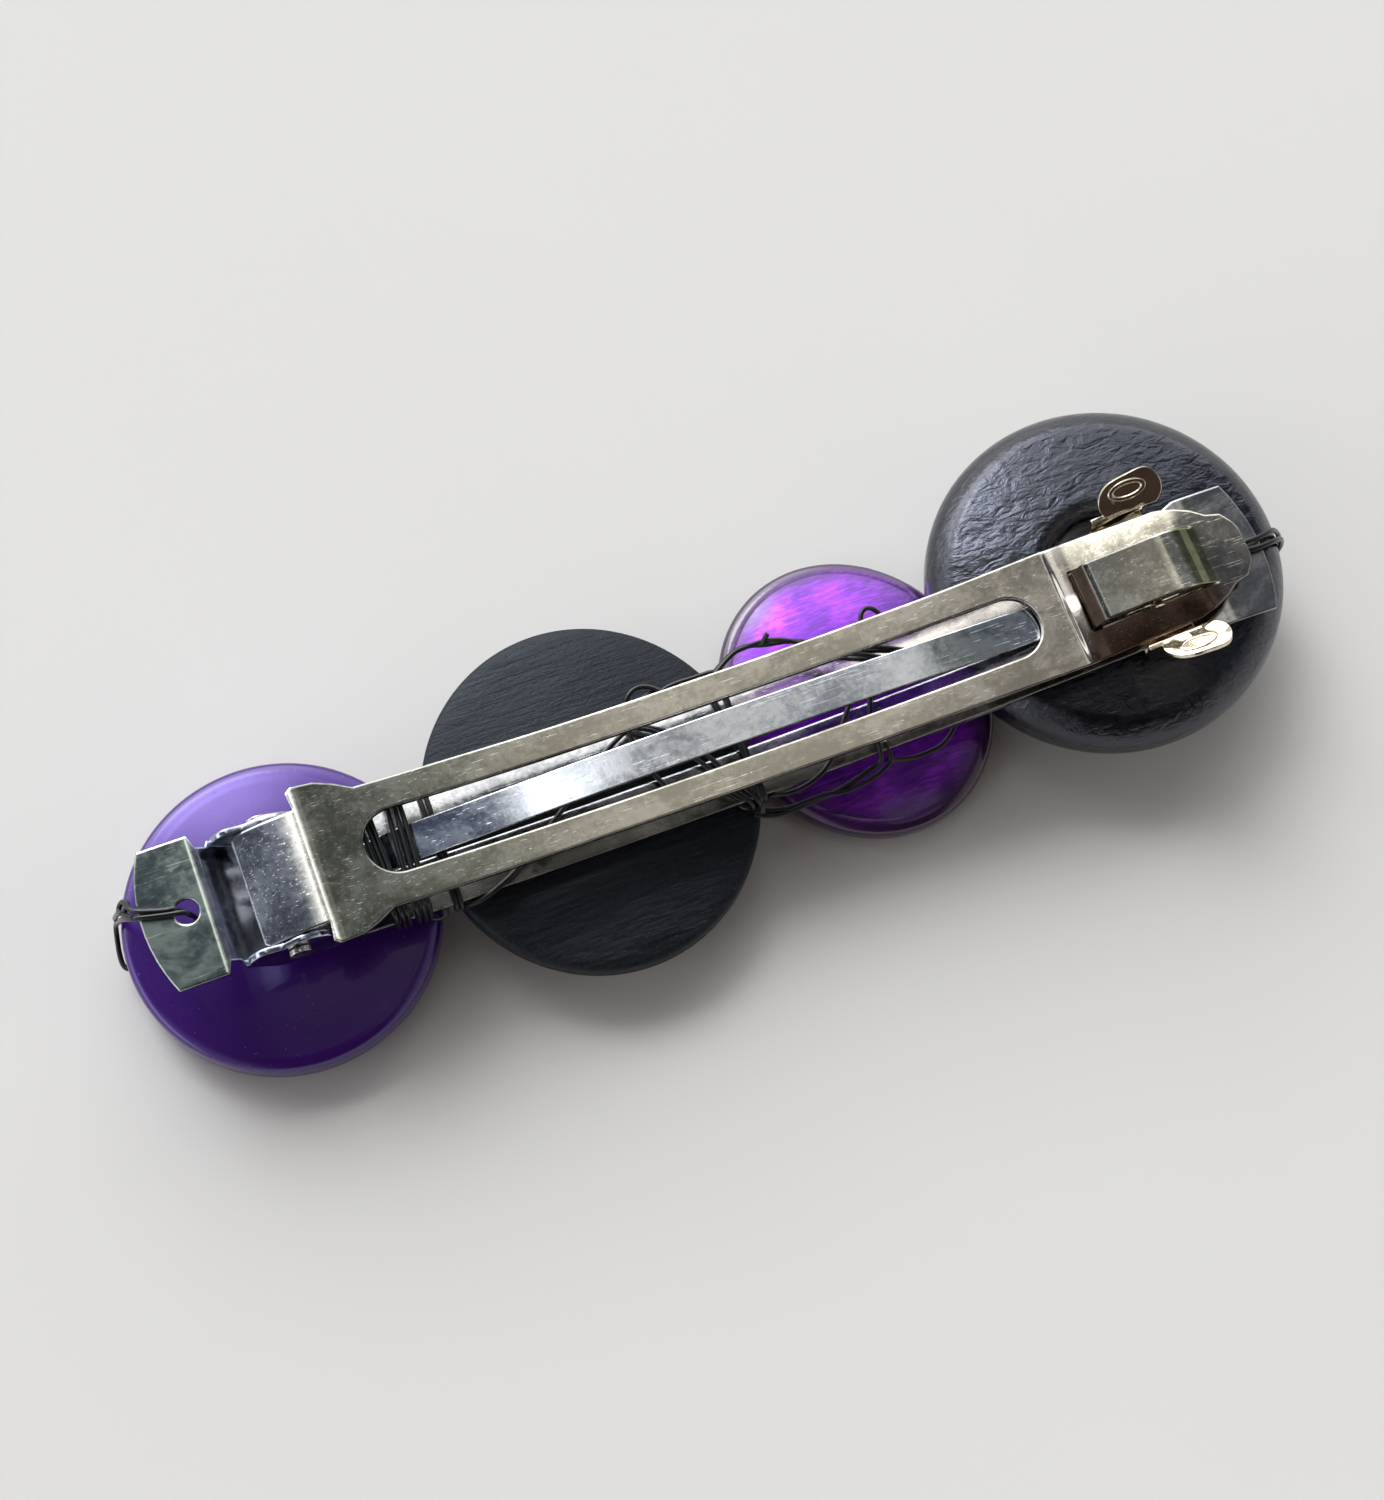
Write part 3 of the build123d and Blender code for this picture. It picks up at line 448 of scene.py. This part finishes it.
def winding(name, runs, *nodes):
    """Wire bent by hand: each run is one smooth spline through places in millimetres."""
    curve = bpy.data.curves.new(name, "CURVE")
    curve.dimensions = "3D"
    curve.bevel_depth = WIRE_R * MM
    curve.bevel_resolution = 3
    curve.resolution_u = 8
    curve.use_fill_caps = True
    for run in runs:
        spline = curve.splines.new("NURBS")
        spline.points.add(len(run) - 1)
        for point, (x, y, z) in zip(spline.points, run):
            point.co = (x * MM + CLIP_MIDDLE.x, y * MM + CLIP_MIDDLE.y, z * MM, 1)
        spline.order_u = 3
        spline.use_endpoint_u = True
    piece = bpy.data.objects.new(name, curve)
    bpy.context.scene.collection.objects.link(piece)
    curve.materials.append(wire_enamel)
    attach(piece, "root")
    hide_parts(*nodes)
    return piece


# Left tie: up the tab's hole, over the tab's end, knotted on the disc's rim, then through the discs
left_tie = [
    [(-36.6, -0.2, 8.6), (-36.75, -0.25, 10.4), (-37.1, -0.15, 11.15), (-38.4, 0.15, 10.95),
     (-39.85, 0.5, 10.95), (-40.5, 0.75, 10.6), (-41.1, 1.4, 8.9), (-41.6, 2.1, 6.4),
     (-41.85, 2.6, 4.6), (-42.2, 2.9, 3.4), (-42.45, 2.3, 2.5), (-42.68, 1.2, 2.1), (-42.68, 0.3, 2),
     (-42.3, -0.05, 2), (-40.2, 0, 2), (-29.63, 0, 2), (-18.63, -0.05, 2.1), (-8.63, 0, 2),
     (2.37, 0, 2.1), (11.37, 0.05, 2), (21.37, -0.05, 2.1), (26.87, 0, 2.2), (28.07, 0.15, 3.6),
     (28.17, 0.25, 6), (27.97, 0.25, 9.2)],
    [(-36.9, 0.1, 9), (-37.3, 0.2, 11.05), (-38.6, 0.5, 10.95), (-39.9, 0.9, 11),
     (-40.4, 1.35, 10.7), (-40.55, 2, 10.2), (-40.75, 2.35, 9.6), (-41.1, 2.2, 9.1),
     (-41.2, 1.75, 9.2), (-41, 1.5, 9.8), (-40.6, 1.55, 10.2), (-40.4, 1.9, 10.1), (-40.5, 2.2, 9.7)],
    [(-40.3, 0.7, 10.75), (-40.9, 1.35, 10), (-41.1, 1.9, 9.2), (-41.5, 2.3, 7.4), (-41.8, 2.9, 5.2),
     (-42.1, 3.2, 3.8), (-42.1, 3.1, 2.8)],
]
winding("string_winding", left_tie, "string_wire")

# Right tie: out of the tab's hole under the tongue, over the tab's end and round the donut's rim
right_tie = [
    [(36.97, -0.05, 9.2), (37.07, -0.05, 10.5), (37.77, -0.25, 11.1), (39.17, -0.5, 11),
     (40.57, -0.45, 11), (41.77, -0.05, 9.9), (42.77, 0.35, 8), (43.32, 0.45, 6.2),
     (43.07, 0.35, 4.4), (41.37, 0.15, 3.1), (38.97, -0.05, 2.7)],
    [(37.27, 0.25, 9.2), (37.37, 0.25, 10.6), (38.37, 0.1, 11.2), (39.97, 0.15, 11.1),
     (41.27, 0.55, 10.5), (42.37, 0.95, 8.6), (43.27, 0.95, 6.8), (43.17, 0.75, 4.6),
     (41.67, 0.55, 3.2), (39.17, 0.45, 2.7)],
]
winding("right_tab_winding", right_tie, "right_tab_wire")


def turn_round(x_top, x_low, high, low, far=4.6, near=-4.6, bow=0.0):
    """One turn of wire round the base plate, from its far edge over the top and back under it."""
    middle = (x_top + x_low) / 2 + bow
    return [
        (middle, 0.05, low), (x_top, far - 0.4, low), (x_top, far, low + 0.4), (x_top, far, high - 0.5),
        (x_top, far - 0.6, high), (middle, 0.05, high + 0.1), (x_low, near + 0.6, high),
        (x_low, near, high - 0.5), (x_low, near, low + 0.4), (x_low, near + 0.4, low),
        (middle, 0.05, low),
    ]


# Strip tie: two bunches of turns over the strip's left end, a pair over the base, and its cut end
strip_turns = [
    turn_round(-24.93, -24.53, 9.25, 5.3, bow=0.1),
    turn_round(-24.43, -24.08, 9.3, 5.3),
    turn_round(-24.03, -23.73, 9.3, 5.3, bow=-0.1),
    turn_round(-22.58, -23.08, 9.35, 5.3, bow=-0.1),
    turn_round(-22.13, -22.63, 9.4, 5.3),
    turn_round(-21.83, -22.23, 9.35, 5.3, bow=0.1),
    turn_round(-20.38, -20.43, 6.75, 5.2),
    turn_round(-19.93, -20.08, 6.75, 5.2),
    [(-22.23, -4.55, 5.6), (-21.63, -4.95, 6), (-21.23, -4.85, 6.6), (-21.13, -4.45, 6.9)],
]
winding("strip_winding", strip_turns, "strip_wrap")

# Middle tie: crossings over the base plate, loops above its far edge and below its near edge
middle_turns = [
    [(-4.53, 3.45, 6.8), (-6.33, 2.85, 6.85), (-8.63, 1.35, 6.9), (-11.13, -0.45, 6.9),
     (-13.43, -1.95, 6.85), (-15.73, -3.55, 6.8), (-17.23, -4.25, 6.6), (-18.63, -4.65, 6.1),
     (-19.83, -4.55, 5.5), (-20.23, -3.75, 5.2)],
    [(-5.43, 4.25, 6.9), (-5.48, 3.05, 6.95), (-5.53, 2.05, 6.95), (-5.23, -0.05, 6.9),
     (-4.23, -2.15, 6.9)],
    [(-6.03, 4.15, 6.8), (-5.03, 3.05, 6.9), (-3.53, 2.25, 6.95), (-2.03, -0.25, 6.95),
     (-1.23, -1.45, 6.95), (-0.23, -3.65, 6.95), (0.67, -4.45, 6.4), (0.77, -4.85, 5.8),
     (0.17, -4.45, 5.1), (-1.23, -2.15, 5.1)],
    [(-5.53, 3.65, 6.8), (-4.13, 2.75, 6.9), (-2.93, 2.05, 6.9), (-1.03, -0.55, 7),
     (-0.63, -1.35, 7), (0.67, -3.75, 7), (1.17, -4.65, 6.5), (1.27, -4.85, 5.8), (0.67, -4.35, 5.2)],
    [(-5.23, 4.45, 6.4), (-4.93, 5.15, 6.7), (-4.23, 5.75, 6.8), (-3.33, 5.75, 6.8),
     (-2.53, 5.15, 6.9), (-1.93, 4.35, 7)],
    [(-3.23, 4.35, 6.9), (-2.53, 4.95, 6.9), (-1.23, 5.15, 6.9), (0.17, 5.05, 7), (1.77, 5.05, 7),
     (2.57, 4.45, 7)],
    [(-4.03, 4.85, 6.5), (-3.03, 5.35, 6.5), (-1.83, 4.95, 6.5), (-0.23, 5.25, 6.6),
     (0.97, 4.95, 6.7)],
    turn_round(0.67, 1.67, 6.95, 5.4),
    turn_round(1.67, 1.37, 7.0, 5.4, bow=0.1),
    [(0.77, 4.45, 6.9), (1.97, 5.25, 7), (3.37, 5.95, 7), (4.37, 6, 7.1), (5.57, 5.55, 7.2),
     (7.07, 5.35, 7.2), (8.57, 4.75, 7.2), (9.37, 4.05, 7.3)],
    [(1.37, 4.65, 7.2), (2.97, 5.75, 7.3), (4.17, 5.85, 7.3), (5.27, 5.9, 7.2), (5.97, 5.8, 7.3),
     (7.37, 5.25, 7.3), (8.37, 4.45, 7.3)],
    [(5.37, 5.65, 7.3), (5.62, 5.95, 7.6), (5.87, 6.1, 7.8)],
    [(12.37, 4.35, 7.1), (12.47, 5.35, 7.2), (13.17, 5.85, 7.2), (13.87, 5.35, 7.2),
     (14.17, 4.35, 7.1)],
    [(8.37, 4.15, 7.4), (10.17, 3.15, 7.5), (12.37, 2.15, 7.6), (13.87, 1.05, 7.6)],
    [(8.77, 4.25, 7.3), (10.97, 3.35, 7.5), (12.97, 2.65, 7.6), (14.37, 1.85, 7.6)],
    [(11.27, 0.25, 7.6), (10.77, -0.75, 7.5), (10.47, -1.55, 7.5), (10.17, -3.45, 7.5),
     (10.17, -4.35, 7.2), (10.07, -4.85, 6.6), (9.37, -5.05, 6.3), (7.97, -5.35, 6),
     (6.47, -5.65, 5.8), (4.87, -5.65, 5.6), (3.37, -5.75, 5.4), (1.77, -5.65, 5.2),
     (0.77, -5.05, 5.1)],
    [(9.87, 0.05, 7.5), (8.87, -1.05, 7.4), (7.97, -2.35, 7.3), (6.97, -3.65, 7.2),
     (5.77, -4.45, 6.9), (3.97, -4.85, 6.5), (2.37, -4.55, 6.2), (1.27, -3.95, 5.4)],
    [(10.67, -3.75, 7.2), (10.87, -4.65, 6.7), (10.77, -5.05, 6.3), (9.67, -5.55, 6.1),
     (8.37, -5.75, 5.9), (6.97, -5.85, 5.8), (5.77, -5.55, 5.9), (4.37, -5.55, 5.7),
     (2.77, -5.55, 5.4), (1.57, -5.05, 5.2)],
    [(10.57, -4.75, 6.1), (11.97, -5.05, 5.4), (13.77, -5.05, 5.2), (15.37, -4.75, 5.2),
     (16.37, -3.75, 5.4)],
]
winding("middle_winding", middle_turns, "middle_wrap")


# Floor, reaching this many metres each way
FLOOR_REACH = 2.0
floor_mesh = bpy.data.meshes.new("floor")
grid = bmesh.new()
bmesh.ops.create_grid(grid, x_segments=1, y_segments=1, size=FLOOR_REACH)
grid.to_mesh(floor_mesh)
grid.free()
floor = bpy.data.objects.new("floor", floor_mesh)
bpy.context.scene.collection.objects.link(floor)
floor_mesh.materials.append(pale_floor())


def studio_sky():
    """Overcast studio light: bright beyond the clip, a pale band overhead, dim behind the camera."""
    world = bpy.data.worlds.new("studio")
    world.use_nodes = True
    sky = Nodes(world.node_tree)
    direction = sky.node("ShaderNodeTexCoord", output="Generated")
    x, y, z = (sky.part_of(direction, axis) for axis in "XYZ")

    # Dim sides: blue on the left, green in the middle, grey on the right, almost black behind
    glow = sky.blend(sky.spread(x, -0.05, 0.05), (0.08, 0.095, 0.13), (0.10, 0.112, 0.10))
    glow = sky.blend(sky.spread(x, 0.33, 0.4), glow, (0.12, 0.125, 0.15))
    glow = sky.blend(sky.spread(y, 0.02, -0.08), glow, (0.05, 0.035, 0.03))

    # Fill from behind the camera, and from both ends
    behind = sky.band(y, -0.42, -0.3, -0.12, -0.05) * sky.band(x, 0.08, 0.16, 0.3, 0.4)
    glow = sky.blend(behind * sky.spread(z, 0.4, 0.6), glow, (0.42, 0.41, 0.40))
    ends = sky.spread(x * x, 0.16, 0.36) * sky.spread(y, 0.1, -0.1)
    glow = sky.blend(ends, glow, (0.50, 0.49, 0.48))

    # Pale band overhead, warmer to the right, with its bright middle to the left
    high = sky.spread(y, -0.02, 0.1)
    glow = sky.blend(sky.band(x, -0.14, -0.06, 0.19, 0.24) * high, glow, (0.40, 0.39, 0.37))
    glow = sky.blend(sky.band(x, 0.10, 0.15, 0.19, 0.24) * high, glow, (0.70, 0.68, 0.62))
    middle = sky.band(x, -0.22, -0.08, -0.03, 0.04) * sky.spread(y, 0.16, 0.24)
    glow = sky.blend(middle, glow, (1.9, 1.9, 1.85))

    # Main light: from the far left, and from beyond the clip, brightest in one patch
    glow = sky.blend(sky.spread(x, -0.80, -0.88), glow, (2.4, 2.45, 2.5))
    glow = sky.blend(sky.spread(y, 0.39, 0.54), glow, (2.2, 2.25, 2.3))
    beyond = sky.spread(y, 0.55, 0.85) * sky.spread(x, 0.42, 0.2)
    glow = sky.blend(beyond, glow, (4.4, 4.5, 4.6))
    patch = sky.band(x, -0.42, -0.26, -0.02, 0.14) * sky.band(y, 0.52, 0.62, 0.74, 0.86)
    glow = sky.blend(patch, glow, (12.5, 12.8, 13.4))

    # Horizon
    glow = sky.blend(sky.spread(z, 0.2, 0.06), glow, (0.72, 0.715, 0.70))
    sky.feed(world.node_tree.nodes["Background"].inputs["Color"], glow)
    bpy.context.scene.world = world


studio_sky()
bpy.context.scene.view_settings.view_transform = "Standard"

# Camera
lens = bpy.data.cameras.new("camera")
lens.sensor_width = SENSOR
lens.lens = CAMERA_FOCAL_PIXELS / PICTURE_HEIGHT * SENSOR
lens.clip_start = 0.01
camera = bpy.data.objects.new("camera", lens)
bpy.context.scene.collection.objects.link(camera)
turn = Matrix((CAMERA_RIGHT, CAMERA_UP, CAMERA_BACK)).transposed().to_4x4()
eye = (CAMERA_TARGET + CAMERA_BACK * CAMERA_DISTANCE) * MM + Vector((CLIP_MIDDLE.x, CLIP_MIDDLE.y, 0))
camera.matrix_world = Matrix.Translation(eye) @ turn
bpy.context.scene.camera = camera
